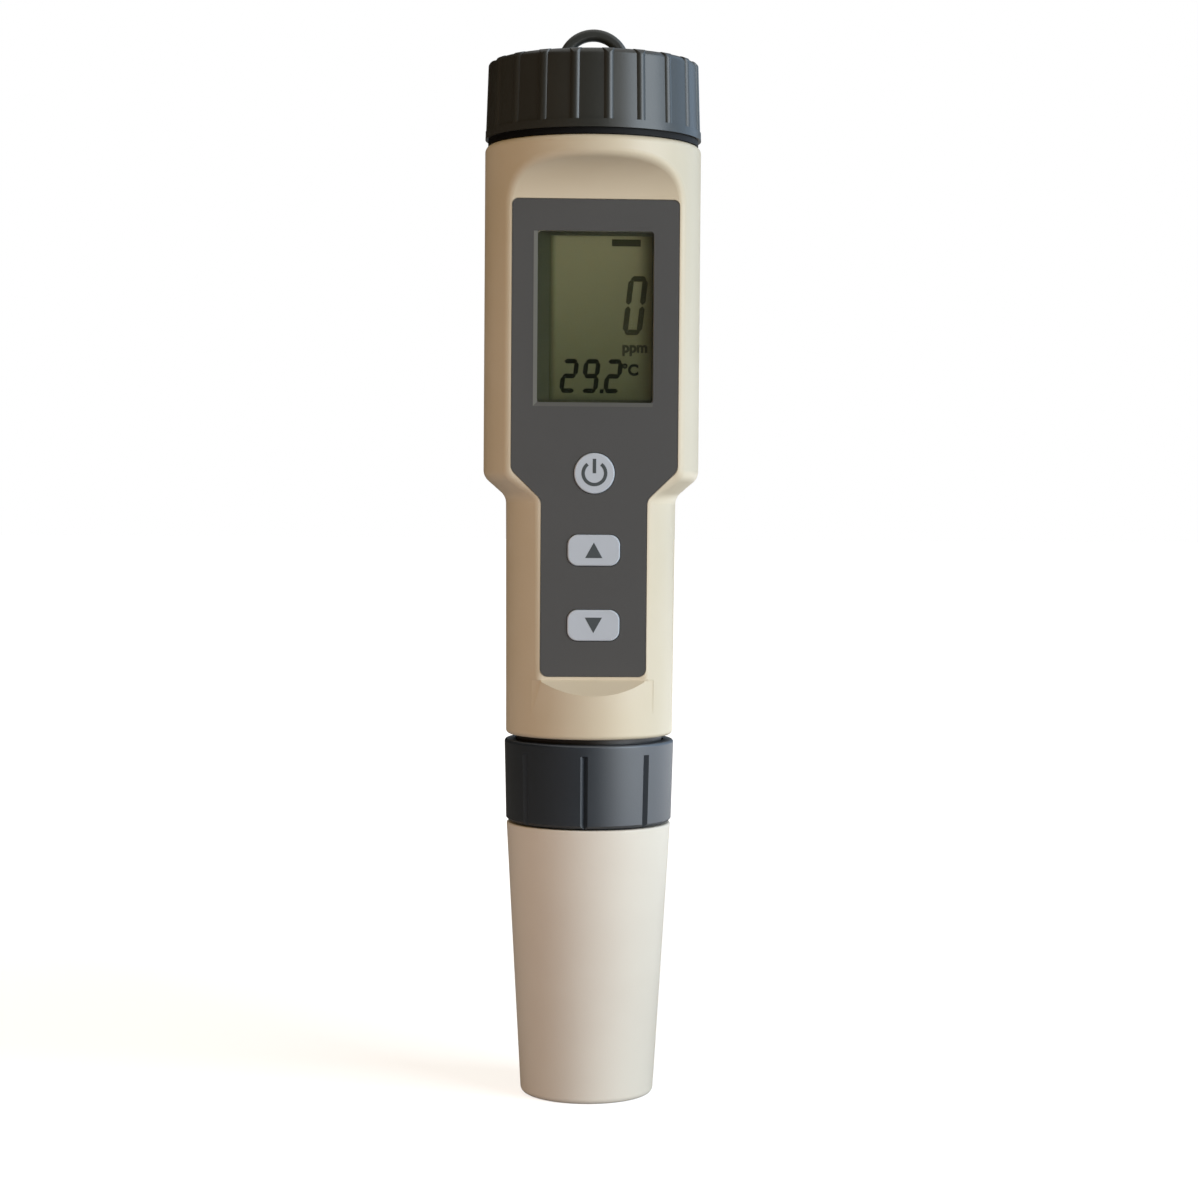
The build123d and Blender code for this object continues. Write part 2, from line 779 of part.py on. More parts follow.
def probe_socket():
    """Connector in the housing's floor, with a block that is soldered to the board."""
    nose = disc(socket_radius, z_socket, z_floor + seat_gap)
    flange = disc(socket_radius + socket_flange, z_floor + seat_gap, z_socket_block)
    half = socket_block_width / 2
    tail = block(-half, half, -board_back, socket_block_depth - board_back,
                 z_socket_block, z_socket_block + socket_block_height)
    socket = nose + flange + tail
    z_contact_end = z_plug_top + contact_pin_length + contact_end_gap
    for x, y in contact_places():
        socket -= disc(contact_pin_radius + socket_fit, z_socket - past, z_contact_end, x, y)
    return socket - ring_groove(socket_ring_radius, z_socket_ring, ring_cord_radius)


def contact_places():
    """Places of the contact pins round the axis."""
    angles = [2 * pi * (number + 0.5) / contact_pin_count for number in range(contact_pin_count)]
    return [(contact_pitch_radius * cos(angle), contact_pitch_radius * sin(angle)) for angle in angles]


def probe_body():
    """Plug, flange, stem and head of the replaceable probe in one moulding."""
    body = turned([
        (0, z_probe_head), (probe_head_radius, z_probe_head),
        (probe_head_radius, z_stem_foot - head_cone), (stem_radius, z_stem_foot),
        (stem_radius, z_flange), (flange_radius, z_flange), (flange_radius, z_flange_top),
        (plug_radius, z_flange_top), (plug_radius, z_plug_top), (0, z_plug_top)],
        [(probe_head_radius, z_probe_head, head_edge_round), (plug_radius, z_plug_top, neck_chamfer)])
    for angle in (0, 180):
        body += Rot(0, 0, angle) * block(plug_radius - bite, flange_radius - dog_setback, -dog_width / 2,
                                         dog_width / 2, z_flange_top - bite, z_flange_top + dog_height)
    body -= ring_groove(plug_ring_radius, z_plug_ring, ring_cord_radius)
    body -= ring_groove(grip_ring_radius, z_grip_ring, grip_cord_radius)
    for x, y in contact_places():
        body -= disc(contact_pin_radius + pin_fit, z_plug_top - contact_pin_root, z_plug_top + past, x, y)
    for x in (pin_offset, -pin_offset):
        body -= disc(pin_radius + pin_fit, z_probe_head - past, z_probe_head + pin_root, x, 0)
    return body - disc(sleeve_radius + pin_fit, z_probe_head - past, z_probe_head + pin_root, 0, pin_offset)


def probe_contacts():
    """Four contact pins that stand out of the plug into the socket."""
    low = z_plug_top - contact_pin_root
    high = z_plug_top + contact_pin_length
    return Compound([disc(contact_pin_radius, low, high, x, y) for x, y in contact_places()])


def measuring_pin(radius, reach, x, y):
    """A pin with a domed tip that stands out of the probe's head."""
    tip = z_probe_head - reach
    pin = disc(radius, tip, z_probe_head + pin_root, x, y)
    return fillet(pin.edges().sort_by(Axis.Z)[0], radius * pin_tip_share)


def electrode_pins():
    """The two measuring pins."""
    return Compound([measuring_pin(pin_radius, pin_reach, side * pin_offset, 0) for side in (1, -1)])


def temperature_sleeve():
    """Metal sleeve of the temperature sensor."""
    return measuring_pin(sleeve_radius, sleeve_reach, 0, pin_offset)


def collar():
    """Grooved ring nut with a lip that carries the probe's flange."""
    ring = turned([
        (0, z_collar), (collar_foot_radius - collar_lead_chamfer, z_collar),
        (collar_foot_radius, z_collar + collar_lead_chamfer), (collar_radius, z_collar_top),
        (0, z_collar_top)], [(collar_radius, z_collar_top, collar_round)])
    ring -= disc(thread_radius, z_lip, z_collar_top + past)
    ring -= disc(lip_bore, z_collar - past, z_lip + past)
    groove_top = z_collar_top - collar_groove_top_land
    edge = collar_groove_width / sqrt(2)
    lean = degrees(atan2(collar_taper, collar_height))
    cutter = Pos(collar_radius, 0, groove_top) * Rot(0, lean, 0) * Rot(0, 0, 45) * Box(
        edge, edge, groove_top - z_collar + 2 * past, align=(Align.CENTER, Align.CENTER, Align.MAX))
    for number in range(collar_groove_count):
        ring -= Rot(0, 0, collar_groove_phase + number * 360 / collar_groove_count) * cutter
    return ring


def protective_cap():
    """Long tapered cap, hollow from the top."""
    outer = turned([(0, 0), (cap_foot_radius, 0), (cap_rim_radius, cap_height), (0, cap_height)],
                   [(cap_foot_radius, 0, cap_edge_round), (cap_rim_radius, cap_height, cap_rim_round)])
    over = cap_height + past
    hollow = turned([(0, cap_floor), (cap_inner_radius(cap_floor), cap_floor),
                     (cap_inner_radius(over), over), (0, over)])
    return outer - hollow


def write(name, shape):
    """Write one piece, or one group of like pieces, to its file."""
    export_step(shape, f"parts/{name}.step")


write("housing", housing())
write("front_overlay", front_overlay())
write("window_lens", window_lens())
write("lcd_glass", lcd_glass())
write("lcd_frame", lcd_frame())
write("zebra_strips", zebra_strips())
write("circuit_board", circuit_board())
write("board_chips", board_chips())
write("key_switches", key_switches())
for name, height in key_heights.items():
    write(f"{name}_key", key(height))
    write(f"{name}_plunger", plunger(height))
write("battery_carrier", battery_carrier())
write("button_cells", button_cells())
write("battery_leaf_spring", battery_leaf_spring())
write("battery_contact_plate", battery_contact_plate())
write("carrier_screws", carrier_screws())
write("neck_ring_seal", ring_seal(neck_ring_radius, z_neck_ring, ring_cord_radius))
write("cap_seal", cap_seal())
write("battery_cap", battery_cap())
write("cap_pad", cap_pad())
write("probe_socket", probe_socket())
write("socket_seal", ring_seal(socket_ring_radius, z_socket_ring, ring_cord_radius))
write("probe_body", probe_body())
write("probe_contacts", probe_contacts())
write("electrode_pins", electrode_pins())
write("temperature_sleeve", temperature_sleeve())
write("probe_ring_seal", ring_seal(plug_ring_radius, z_plug_ring, ring_cord_radius))
write("cap_grip_ring", ring_seal(grip_ring_radius, z_grip_ring, grip_cord_radius))
write("collar", collar())
write("protective_cap", protective_cap())
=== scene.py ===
# %% [markdown]
# # Floating salinity meter
# A pen meter that floats: a cream moulded barrel with a flat front, a grey printed film with a display
# and three keys, a ribbed screw cap on top, a grooved ring nut below and a long protective cover over
# the probe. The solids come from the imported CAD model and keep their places. This script gives them
# their materials, adds the screw threads, the figures on the display and the signs on the keys, and
# sets up the studio and the camera.

# %% Load the frame
import json
from math import cos, pi, radians, sin, tan

import bmesh
import bpy
from mathutils import Matrix, Vector


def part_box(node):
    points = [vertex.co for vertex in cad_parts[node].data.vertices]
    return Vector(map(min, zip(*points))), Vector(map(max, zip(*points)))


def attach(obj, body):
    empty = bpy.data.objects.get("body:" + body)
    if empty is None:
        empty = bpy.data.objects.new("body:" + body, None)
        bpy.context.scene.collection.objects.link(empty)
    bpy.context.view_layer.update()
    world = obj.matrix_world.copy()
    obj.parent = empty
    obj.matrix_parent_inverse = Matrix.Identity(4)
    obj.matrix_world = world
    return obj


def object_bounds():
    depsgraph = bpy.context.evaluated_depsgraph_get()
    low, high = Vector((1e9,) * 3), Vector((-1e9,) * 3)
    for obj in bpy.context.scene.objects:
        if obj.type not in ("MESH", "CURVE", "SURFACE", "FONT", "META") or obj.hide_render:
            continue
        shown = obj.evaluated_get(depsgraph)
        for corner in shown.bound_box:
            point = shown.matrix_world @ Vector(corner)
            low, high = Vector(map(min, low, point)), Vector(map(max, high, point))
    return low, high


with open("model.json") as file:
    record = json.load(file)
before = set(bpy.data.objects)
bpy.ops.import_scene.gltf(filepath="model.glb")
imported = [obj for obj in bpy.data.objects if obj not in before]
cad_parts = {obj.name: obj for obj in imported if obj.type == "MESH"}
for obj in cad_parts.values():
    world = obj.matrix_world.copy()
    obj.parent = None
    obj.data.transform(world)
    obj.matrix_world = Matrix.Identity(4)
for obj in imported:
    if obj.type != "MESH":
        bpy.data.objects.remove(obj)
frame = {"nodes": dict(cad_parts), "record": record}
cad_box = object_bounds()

scene = bpy.context.scene
solids = frame["nodes"]
print("solids loaded:", len(solids))
print("height in mm:", round((cad_box[1].z - cad_box[0].z) * 1000, 1))

# %% [markdown]
# ## Units and colours
# The frame is in metres, and a maker thinks of this meter in millimetres, so sizes below are written in
# millimetres and turned to metres by one value. Colours are written as sRGB hex codes, the way a paint
# or web colour is picked, but a shader adds and multiplies light, so it needs them linear. One function
# does that for every colour here.

# %% Units and colours
MM = 0.001


def paint(code):
    """An sRGB hex code as the linear red, green, blue and alpha that a shader reads."""
    channels = [int(code[place:place + 2], 16) / 255 for place in (1, 3, 5)]
    return [c / 12.92 if c <= 0.04045 else ((c + 0.055) / 1.055) ** 2.4 for c in channels] + [1.0]


print("cream, linear:", [round(c, 3) for c in paint("#E9DDC4")])

# %% [markdown]
# ## One function for every node
# Materials and Geometry Nodes are both trees of nodes. Written by hand, each node takes a line to make
# it, one for each setting and one for each link. The first function does all three, so a tree below
# reads as a short list of what is joined to what. The four after it stand for nodes that come up again
# and again: arithmetic, a mix of two colours, noise, and a ramp from one range of numbers to another.

# %% A node with its settings and links


def add_node(tree, kind, links=None, **settings):
    """Add a node, set it up, and give each named input a value or the socket that feeds it."""
    node = tree.nodes.new(kind)
    for name, value in settings.items():
        setattr(node, name, value)
    for name, value in (links or {}).items():
        if isinstance(value, bpy.types.NodeSocket):
            tree.links.new(value, node.inputs[name])
        else:
            node.inputs[name].default_value = value
    return node


def maths(tree, operation, *values):
    """One step of arithmetic on numbers or sockets."""
    return add_node(tree, "ShaderNodeMath", dict(enumerate(values)), operation=operation).outputs[0]


def blend(tree, factor, first, second):
    """The colour between two others: the first at a factor of 0, the second at 1."""
    return add_node(tree, "ShaderNodeMix", {"Factor": factor, "A": first, "B": second},
                    data_type="RGBA").outputs["Result"]


def noise(tree, place, grain_mm, detail):
    """Soft noise whose grains are that many millimetres wide."""
    return add_node(tree, "ShaderNodeTexNoise", {
        "Vector": place, "Scale": 1 / (grain_mm * MM), "Detail": detail}).outputs["Fac"]


def ramp(tree, value, start, end, low=0.0, high=1.0, kind="LINEAR"):
    """A value that runs from start to end, turned into one that runs from low to high."""
    return add_node(tree, "ShaderNodeMapRange", {
        "Value": value, "From Min": start, "From Max": end, "To Min": low, "To Max": high},
        interpolation_type=kind).outputs["Result"]


# %% [markdown]
# A material is a tree too. It starts empty, gets the position of each point of the surface, and ends
# with a shader joined to its output.

# %% Start and end of a material


def new_material(name):
    """A new material, its empty tree, and the socket with the place of each point on the object."""
    material = bpy.data.materials.new(name)
    material.use_nodes = True
    tree = material.node_tree
    tree.nodes.clear()
    return material, tree, add_node(tree, "ShaderNodeTexCoord").outputs["Object"]


def close_material(tree, shader):
    """Join the finished shader to the material's output."""
    add_node(tree, "ShaderNodeOutputMaterial", {"Surface": shader})


# %% [markdown]
# ## Moulded plastic
# The barrel, the cover, the cap and the ring nut are injection-moulded ABS. The steel mould was spark
# eroded, which leaves a fine even grain, so the plastic has a soft wide gloss and not a mirror's. Two
# noises make that: a fine one, about 0.35 mm from grain to grain, tilts the surface a little, and a
# broad one, about two centimetres wide, shifts the colour and the roughness as handling does. The
# grain of the real mould is finer still, and it is drawn as coarse as the render needs to show it. The
# barrel has one more feature: in the joint above the ring nut a narrow band of its spigot shows, and
# that band is painted dark as painted shade of the joint. The shader finds it by its radius and height.

# %% Moulded plastic
CLOUD_MM = 22
GRAIN_MM = 0.35
# The band of painted shade: everything nearer to the axis than the radius, within half a width of the
# height.
JOINT_RADIUS = 13.8 * MM
JOINT_HEIGHT = 63.4 * MM
JOINT_HALF = 1.0 * MM


def paint_joint_shade(tree, place, colour):
    """Painted shade: darken a colour on the band of the spigot that shows in the joint above the ring
    nut.
    """
    apart = add_node(tree, "ShaderNodeSeparateXYZ", {"Vector": place}).outputs
    flat = add_node(tree, "ShaderNodeCombineXYZ", {"X": apart["X"], "Y": apart["Y"]})
    radius = add_node(tree, "ShaderNodeVectorMath", {0: flat.outputs["Vector"]}, operation="LENGTH")
    inside = maths(tree, "LESS_THAN", radius.outputs["Value"], JOINT_RADIUS)
    level = maths(tree, "COMPARE", apart["Z"], JOINT_HEIGHT, JOINT_HALF)
    # The dark colour is painted shade in the joint.
    return blend(tree, maths(tree, "MULTIPLY", inside, level), colour, paint("#2B251D"))


def moulded_abs(name, light, dark, roughness, grain_lift=0.004, specular=0.5, joint_shade=False):
    """Injection-moulded ABS: two near shades in a broad cloud, and a spark-eroded grain."""
    material, tree, place = new_material(name)
    cloud = noise(tree, place, CLOUD_MM, 3.0)
    shade = add_node(tree, "ShaderNodeValToRGB", {"Fac": cloud})
    shade.color_ramp.elements[0].position = 0.35
    shade.color_ramp.elements[0].color = paint(dark)
    shade.color_ramp.elements[1].position = 0.65
    shade.color_ramp.elements[1].color = paint(light)
    rough = ramp(tree, cloud, 0.3, 0.7, roughness - 0.03, roughness + 0.04)
    bump = add_node(tree, "ShaderNodeBump", {
        "Height": noise(tree, place, GRAIN_MM, 2.0), "Strength": 1.0, "Distance": grain_lift * MM})
    colour = shade.outputs["Color"]
    # Painted shade on the band of the spigot in the joint above the ring nut.
    if joint_shade:
        colour = paint_joint_shade(tree, place, colour)
    plastic = add_node(tree, "ShaderNodeBsdfPrincipled", {
        "Base Color": colour, "Roughness": rough, "Normal": bump.outputs["Normal"], "IOR": 1.53,
        "Specular IOR Level": specular})
    close_material(tree, plastic.outputs["BSDF"])
    return material


# %% [markdown]
# Eight plastics come from that one function. Each has a light and a dark shade that are close
# together, a roughness, and where it needs them a deeper or finer grain and a stronger gloss.

# %% The plastics
# Cream ABS, moulded with an eroded grain: pale, warm, with a broad satin gloss.
# The barrel also carries painted shade in the joint above the ring nut.
cream_abs = moulded_abs("abs_cream_moulded", "#E9DDC4", "#E5D8BC", 0.42, joint_shade=True)
# Ivory ABS of the cover, a shade paler and less yellow than the barrel.
ivory_abs = moulded_abs("abs_ivory_moulded", "#F4EDDF", "#F0E8DA", 0.4)
# Charcoal ABS of the cap: dark, satin, with a cool sheen towards the lamp.
charcoal_abs = moulded_abs("abs_charcoal_moulded", "#3B3C38", "#353632", 0.34, grain_lift=0.006)
# Slate ABS of the ring nut, from a mould with a deeper grain: a wider and bluer sheen.
slate_abs = moulded_abs("abs_slate_moulded", "#262E36", "#212931", 0.45, grain_lift=0.008,
                        specular=1.0)
# Black ABS inside, for the switch bodies and the battery tube.
black_abs = moulded_abs("abs_black_moulded", "#1C1C1C", "#171717", 0.5)
# Dark olive ABS of the display's frame: its colour is painted shade, the shaded border of the display.
frame_shade_abs = moulded_abs("abs_olive_painted_shade", "#484B2E", "#42462C", 0.5)
# Dark ABS of the probe's plug and stem, with the same grain.
probe_abs = moulded_abs("abs_probe_moulded", "#2A2B2C", "#242526", 0.42)
# Key caps, ABS under a silver-grey lacquer: light, cool, almost without gloss.
key_abs = moulded_abs("abs_key_lacquered", "#C9D1DA", "#C4CCD4", 0.5, grain_lift=0.002)
print("materials so far:", len(bpy.data.materials))

# %% [markdown]
# ## Film, rubber and the display
# The graphic film is polyester, printed on its back and etched on its face, so its grey lies under a
# matt skin: nearly the same from every side, with a faint wide gloss. Silicone rubber is black and
# dull. The window is a block of clear acrylic.

# %% Film, rubber and acrylic
# The grain of each pattern in millimetres: the tooth of the etched film and the cloud of its print, the
# bloom on the rubber and the handling marks on the acrylic.
TOOTH_MM = 0.25
PRINT_MM = 15
BLOOM_MM = 4
MARKS_MM = 3
TOOTH_LIFT = 0.004 * MM


def etched_film(name, light, dark, roughness, specular=0.35):
    """Polyester film with an etched face: one even print and a very fine matt tooth."""
    material, tree, place = new_material(name)
    shade = blend(tree, noise(tree, place, PRINT_MM, 2.0), paint(dark), paint(light))
    bump = add_node(tree, "ShaderNodeBump", {
        "Height": noise(tree, place, TOOTH_MM, 2.0), "Strength": 1.0, "Distance": TOOTH_LIFT})
    film = add_node(tree, "ShaderNodeBsdfPrincipled", {
        "Base Color": shade, "Roughness": roughness, "Normal": bump.outputs["Normal"], "IOR": 1.55,
        "Specular IOR Level": specular})
    close_material(tree, film.outputs["BSDF"])
    return material


def moulded_rubber(name, light, dark):
    """Silicone rubber: dull, with a soft bloom of dust in patches."""
    material, tree, place = new_material(name)
    bloom = noise(tree, place, BLOOM_MM, 4.0)
    rubber = add_node(tree, "ShaderNodeBsdfPrincipled", {
        "Base Color": blend(tree, bloom, paint(dark), paint(light)),
        "Roughness": ramp(tree, bloom, 0.0, 1.0, 0.55, 0.75), "IOR": 1.41, "Specular IOR Level": 0.25})
    close_material(tree, rubber.outputs["BSDF"])
    return material


def cast_acrylic(name, tint):
    """Clear cast acrylic: a smooth hard face with a few hair-fine handling marks in its gloss."""
    material, tree, place = new_material(name)
    rough = ramp(tree, noise(tree, place, MARKS_MM, 6.0), 0.0, 1.0, 0.02, 0.08)
    acrylic = add_node(tree, "ShaderNodeBsdfPrincipled", {
        "Base Color": paint(tint), "Roughness": rough, "IOR": 1.49, "Transmission Weight": 1.0})
    close_material(tree, acrylic.outputs["BSDF"])
    return material


# %% [markdown]
# The display is a sheet of olive liquid crystal between two glasses. It darkens towards its foot, and
# along its two sides it carries painted shade, the shadow of the window's walls.

# %% The display glass
# Where the painted shade lies, in millimetres from its right and its left edge, and its rows of dots.
RIGHT_SHADE = (4.5, 1.5)
LEFT_SHADE = (1.4, 3.0)
ROWS_MM = 0.5
ROWS_LIFT = 0.001 * MM


def crystal_display(name, top, foot, right, left, low, high):
    """Liquid crystal between glasses: olive, darker at its foot, with painted shade along its two
    sides.
    """
    material, tree, place = new_material(name)
    along = add_node(tree, "ShaderNodeSeparateXYZ", {"Vector": place}).outputs
    shade = blend(tree, ramp(tree, along["Z"], low.z, high.z), paint(foot), paint(top))
    # Painted shade along the right side, where the window's wall shades the display.
    right_shade_mask = ramp(tree, along["X"], high.x - RIGHT_SHADE[0] * MM, high.x - RIGHT_SHADE[1] * MM,
                      kind="SMOOTHSTEP")
    shade = blend(tree, right_shade_mask, shade, paint(right))
    # Painted shade along the left side, by the window's frame.
    left_shade_mask = ramp(tree, along["X"], low.x + LEFT_SHADE[0] * MM, low.x + LEFT_SHADE[1] * MM,
                     kind="SMOOTHSTEP")
    shade = blend(tree, left_shade_mask, paint(left), shade)
    bump = add_node(tree, "ShaderNodeBump", {
        "Height": noise(tree, place, ROWS_MM, 1.0), "Strength": 1.0, "Distance": ROWS_LIFT})
    glass = add_node(tree, "ShaderNodeBsdfPrincipled", {
        "Base Color": shade, "Roughness": 0.25, "IOR": 1.52, "Normal": bump.outputs["Normal"]})
    close_material(tree, glass.outputs["BSDF"])
    return material


# %% [markdown]
# Now each film, the rubber, the window and the display glass get their colours.

# %% Their colours
# Polyester film, printed grey behind an etched face: flat and even from all sides.
grey_film = etched_film("polyester_film_grey", "#555554", "#50504F", 0.6)
# Printing ink of the signs on the keys: dark grey and matt.
sign_ink = etched_film("printing_ink_dark", "#4E5456", "#494F51", 0.6)
# The dark bars of the display: nearly black, with no gloss of their own behind the window.
display_ink = etched_film("display_figures_dark", "#1E2114", "#1A1D11", 0.6, specular=0.05)
# The upper bars, which the eye meets at a worse angle: the same, paler.
upper_ink = etched_film("display_figures_pale", "#464734", "#424331", 0.6, specular=0.05)
# Painted highlight on the cut edge of the film at the window: bright where it faces the lamp,
# plainer at the foot.
edge_highlight = etched_film("painted_highlight_side", "#7C7E79", "#777974", 0.5)
foot_highlight = etched_film("painted_highlight_foot", "#62635F", "#5E5F5B", 0.5)
# Black silicone rubber of the seals: dull and very dark.
black_silicone = moulded_rubber("silicone_rubber_black", "#161616", "#0B0B0B")
# Clear acrylic block of the window.
clear_acrylic = cast_acrylic("acrylic_clear_cast", "#F4F6F2")
display_low, display_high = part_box("lcd_glass")
# Olive display glass: pale at its top, so that the dark figures stand out. Its right and left
# colours are painted shade along its sides.
olive_display = crystal_display("display_glass_olive", "#A4A07A", "#646849", "#747555", "#4A4C34",
                               display_low, display_high)
print("display from", round(display_low.z * 1000, 1), "to", round(display_high.z * 1000, 1), "mm")

# %% [markdown]
# ## Metals and the board
# Inside there are a few metals: nickel-plated steel cells and springs, gold-plated brass contacts,
# zinc-plated screws and the stainless measuring pins. Each is a metal with its own colour and a finish
# stretched along the way it was drawn or turned. The board is woven glass in green resin, so a fine
# weave shows through the lacquer.

# %% Metals and the board
LINES_STRETCH = (0.05, 0.05, 1.0)
WEAVE_MM = 0.6


def drawn_metal(name, light, dark, roughness, line_mm):
    """Metal with fine lines left by turning or drawing, a little lighter and rougher between them."""
    material, tree, place = new_material(name)
    turned = add_node(tree, "ShaderNodeMapping", {"Vector": place, "Scale": LINES_STRETCH})
    lines = noise(tree, turned.outputs["Vector"], line_mm, 3.0)
    metal = add_node(tree, "ShaderNodeBsdfPrincipled", {
        "Base Color": blend(tree, lines, paint(dark), paint(light)),
        "Roughness": ramp(tree, lines, 0.0, 1.0, roughness - 0.06, roughness + 0.1), "Metallic": 1.0})
    close_material(tree, metal.outputs["BSDF"])
    return material


def woven_laminate(name, light, dark):
    """Glass-epoxy board: a fine weave under green lacquer."""
    material, tree, place = new_material(name)
    weave = add_node(tree, "ShaderNodeTexChecker", {"Vector": place, "Scale": 1 / (WEAVE_MM * MM)})
    shade = blend(tree, weave.outputs["Fac"], paint(dark), paint(light))
    board = add_node(tree, "ShaderNodeBsdfPrincipled", {
        "Base Color": shade, "Roughness": 0.3, "IOR": 1.5})
    close_material(tree, board.outputs["BSDF"])
    return material


# Nickel-plated steel of the cells and their springs: a warm grey mirror with drawn lines.
cell_steel = drawn_metal("steel_nickel_plated", "#C9C6BF", "#B4B1AA", 0.28, 0.3)
# Gold-plated brass contacts: yellow, bright.
contact_brass = drawn_metal("brass_gold_plated", "#DDBB6A", "#CDA957", 0.22, 0.2)
# Zinc-plated screws: pale grey, a little dull.
screw_steel = drawn_metal("steel_zinc_plated", "#BFC3C6", "#A7ABAE", 0.35, 0.25)
# Stainless pins of the probe: turned and polished.
pin_steel = drawn_metal("steel_stainless_turned", "#CBCBC8", "#BBBBB7", 0.18, 0.15)
# Glass-epoxy board under green lacquer.
green_board = woven_laminate("epoxy_board_green", "#2C6A45", "#255C3B")
print("materials so far:", len(bpy.data.materials))

# %% [markdown]
# ## Dressing the solids
# The record names a finish for every solid. One table joins those names to the materials, and a loop
# dresses each solid, so that no piece is forgotten. Two solids share a slot with others and yet have a
# plastic of their own, the ring nut and the display's frame, and get it after the loop. The frame's
# olive is painted shade.

# %% Dress the solids
finishes = {
    "barrel_plastic": cream_abs, "cover_plastic": ivory_abs, "cap_plastic": charcoal_abs,
    "graphic_film": grey_film, "key_plastic": key_abs, "clear_window": clear_acrylic,
    "display_glass": olive_display, "black_plastic": black_abs, "black_rubber": black_silicone,
    "board_laminate": green_board, "cell_steel": cell_steel, "contact_brass": contact_brass,
    "screw_steel": screw_steel, "probe_plastic": probe_abs, "pin_metal": pin_steel,
}
slot_of = {part["node"]: part["material_slot"] for part in frame["record"]["subparts"]}
for name, solid in solids.items():
    solid.data.materials.clear()
    solid.data.materials.append(finishes[slot_of[name]])
solids["collar"].data.materials[0] = slate_abs
# The frame's olive colour is painted shade along the display's border.
solids["lcd_frame"].data.materials[0] = frame_shade_abs
print("solids dressed:", len(slot_of))

# %% [markdown]
# ## Screw threads
# The cap screws on the neck and the ring nut on the spigot. A thread is a ridge that follows a helix:
# it rises by one pitch in each turn. It could be modelled turn by turn, but it is one small outline
# swept along a rule, which is what Geometry Nodes do well. The tree makes a spiral, thins it out at
# both ends, where a real thread runs out, sweeps a flat six-sided outline along it and gives it its
# material. Half of the outline is sunk in the wall. The pitches are the ones that the joints of the CAD
# model use, so the ridges stay in mesh when the caps are unscrewed.

# %% The thread tree
STEPS_PER_TURN = 72
OUTLINE_CORNERS = 6
RUN_OUT = 12.0
THINNEST = 0.05


def thread_tree():
    """Geometry Nodes that sweep a flat outline along a helix, with its sizes as inputs.

    The ridge reaches its full height after 1 / RUN_OUT of its length, and never thins to nothing.
    """
    tree = bpy.data.node_groups.new("helical_thread", "GeometryNodeTree")
    tree.interface.new_socket("Geometry", in_out="OUTPUT", socket_type="NodeSocketGeometry")
    for name in ("Radius", "Pitch", "Turns", "Foot", "Ridge height", "Ridge width"):
        tree.interface.new_socket(name, in_out="INPUT", socket_type="NodeSocketFloat")
    tree.interface.new_socket("Finish", in_out="INPUT", socket_type="NodeSocketMaterial")
    sizes = add_node(tree, "NodeGroupInput").outputs
    rise = maths(tree, "MULTIPLY", sizes["Pitch"], sizes["Turns"])
    helix = add_node(tree, "GeometryNodeCurveSpiral", {
        "Resolution": STEPS_PER_TURN, "Rotations": sizes["Turns"], "Start Radius": sizes["Radius"],
        "End Radius": sizes["Radius"], "Height": rise, "Reverse": True})
    along = add_node(tree, "GeometryNodeSplineParameter").outputs["Factor"]
    lead_in = maths(tree, "MULTIPLY", along, RUN_OUT)
    lead_out = maths(tree, "MULTIPLY", maths(tree, "SUBTRACT", 1.0, along), RUN_OUT)
    full = maths(tree, "MINIMUM", maths(tree, "MINIMUM", lead_in, lead_out), 1.0)
    tapered = add_node(tree, "GeometryNodeSetCurveRadius", {
        "Curve": helix.outputs["Curve"], "Radius": maths(tree, "MAXIMUM", full, THINNEST)})
    upright = add_node(tree, "GeometryNodeSetCurveNormal", {"Curve": tapered.outputs["Curve"]},
                       mode="Z_UP")
    outline = add_node(tree, "GeometryNodeCurvePrimitiveCircle", {
        "Resolution": OUTLINE_CORNERS, "Radius": 1.0})
    flatten = add_node(tree, "ShaderNodeCombineXYZ", {
        "X": sizes["Ridge height"], "Y": sizes["Ridge width"], "Z": 1.0})
    flat_outline = add_node(tree, "GeometryNodeTransform", {
        "Geometry": outline.outputs["Curve"], "Scale": flatten.outputs["Vector"]})
    ridge = add_node(tree, "GeometryNodeCurveToMesh", {
        "Curve": upright.outputs["Curve"], "Profile Curve": flat_outline.outputs["Geometry"],
        "Fill Caps": True})
    lift = add_node(tree, "ShaderNodeCombineXYZ", {"Z": sizes["Foot"]})
    placed = add_node(tree, "GeometryNodeTransform", {
        "Geometry": ridge.outputs["Mesh"], "Translation": lift.outputs["Vector"]})
    real = add_node(tree, "GeometryNodeRealizeInstances", {"Geometry": placed.outputs["Geometry"]})
    dressed = add_node(tree, "GeometryNodeSetMaterial", {
        "Geometry": real.outputs["Geometry"], "Material": sizes["Finish"]})
    add_node(tree, "NodeGroupOutput", {"Geometry": dressed.outputs["Geometry"]})
    return tree


def grown(name, tree, values):
    """A plain mesh object made by a node tree from named input values."""
    seed = bpy.data.objects.new(name + "_seed", bpy.data.meshes.new(name + "_seed"))
    scene.collection.objects.link(seed)
    modifier = seed.modifiers.new("tree", "NODES")
    modifier.node_group = tree
    for item in tree.interface.items_tree:
        if item.in_out == "INPUT" and item.name in values:
            modifier[item.identifier] = values[item.name]
    graph = bpy.context.evaluated_depsgraph_get()
    mesh = bpy.data.meshes.new_from_object(seed.evaluated_get(graph), depsgraph=graph)
    mesh.name = name
    seed.modifiers.remove(modifier)
    bpy.data.objects.remove(seed)
    piece = bpy.data.objects.new(name, mesh)
    scene.collection.objects.link(piece)
    return piece


# %% [markdown]
# The neck carries 1.7 turns above its ring seal and the spigot 2.2 turns. The cap and the ring nut
# carry the same threads on their inner walls, half a pitch higher, so that ridge lies beside ridge as
# it does when both are screwed home. The last line of the loop proves the hand of each thread: seen
# from above, a right-handed one turns anticlockwise as it rises.

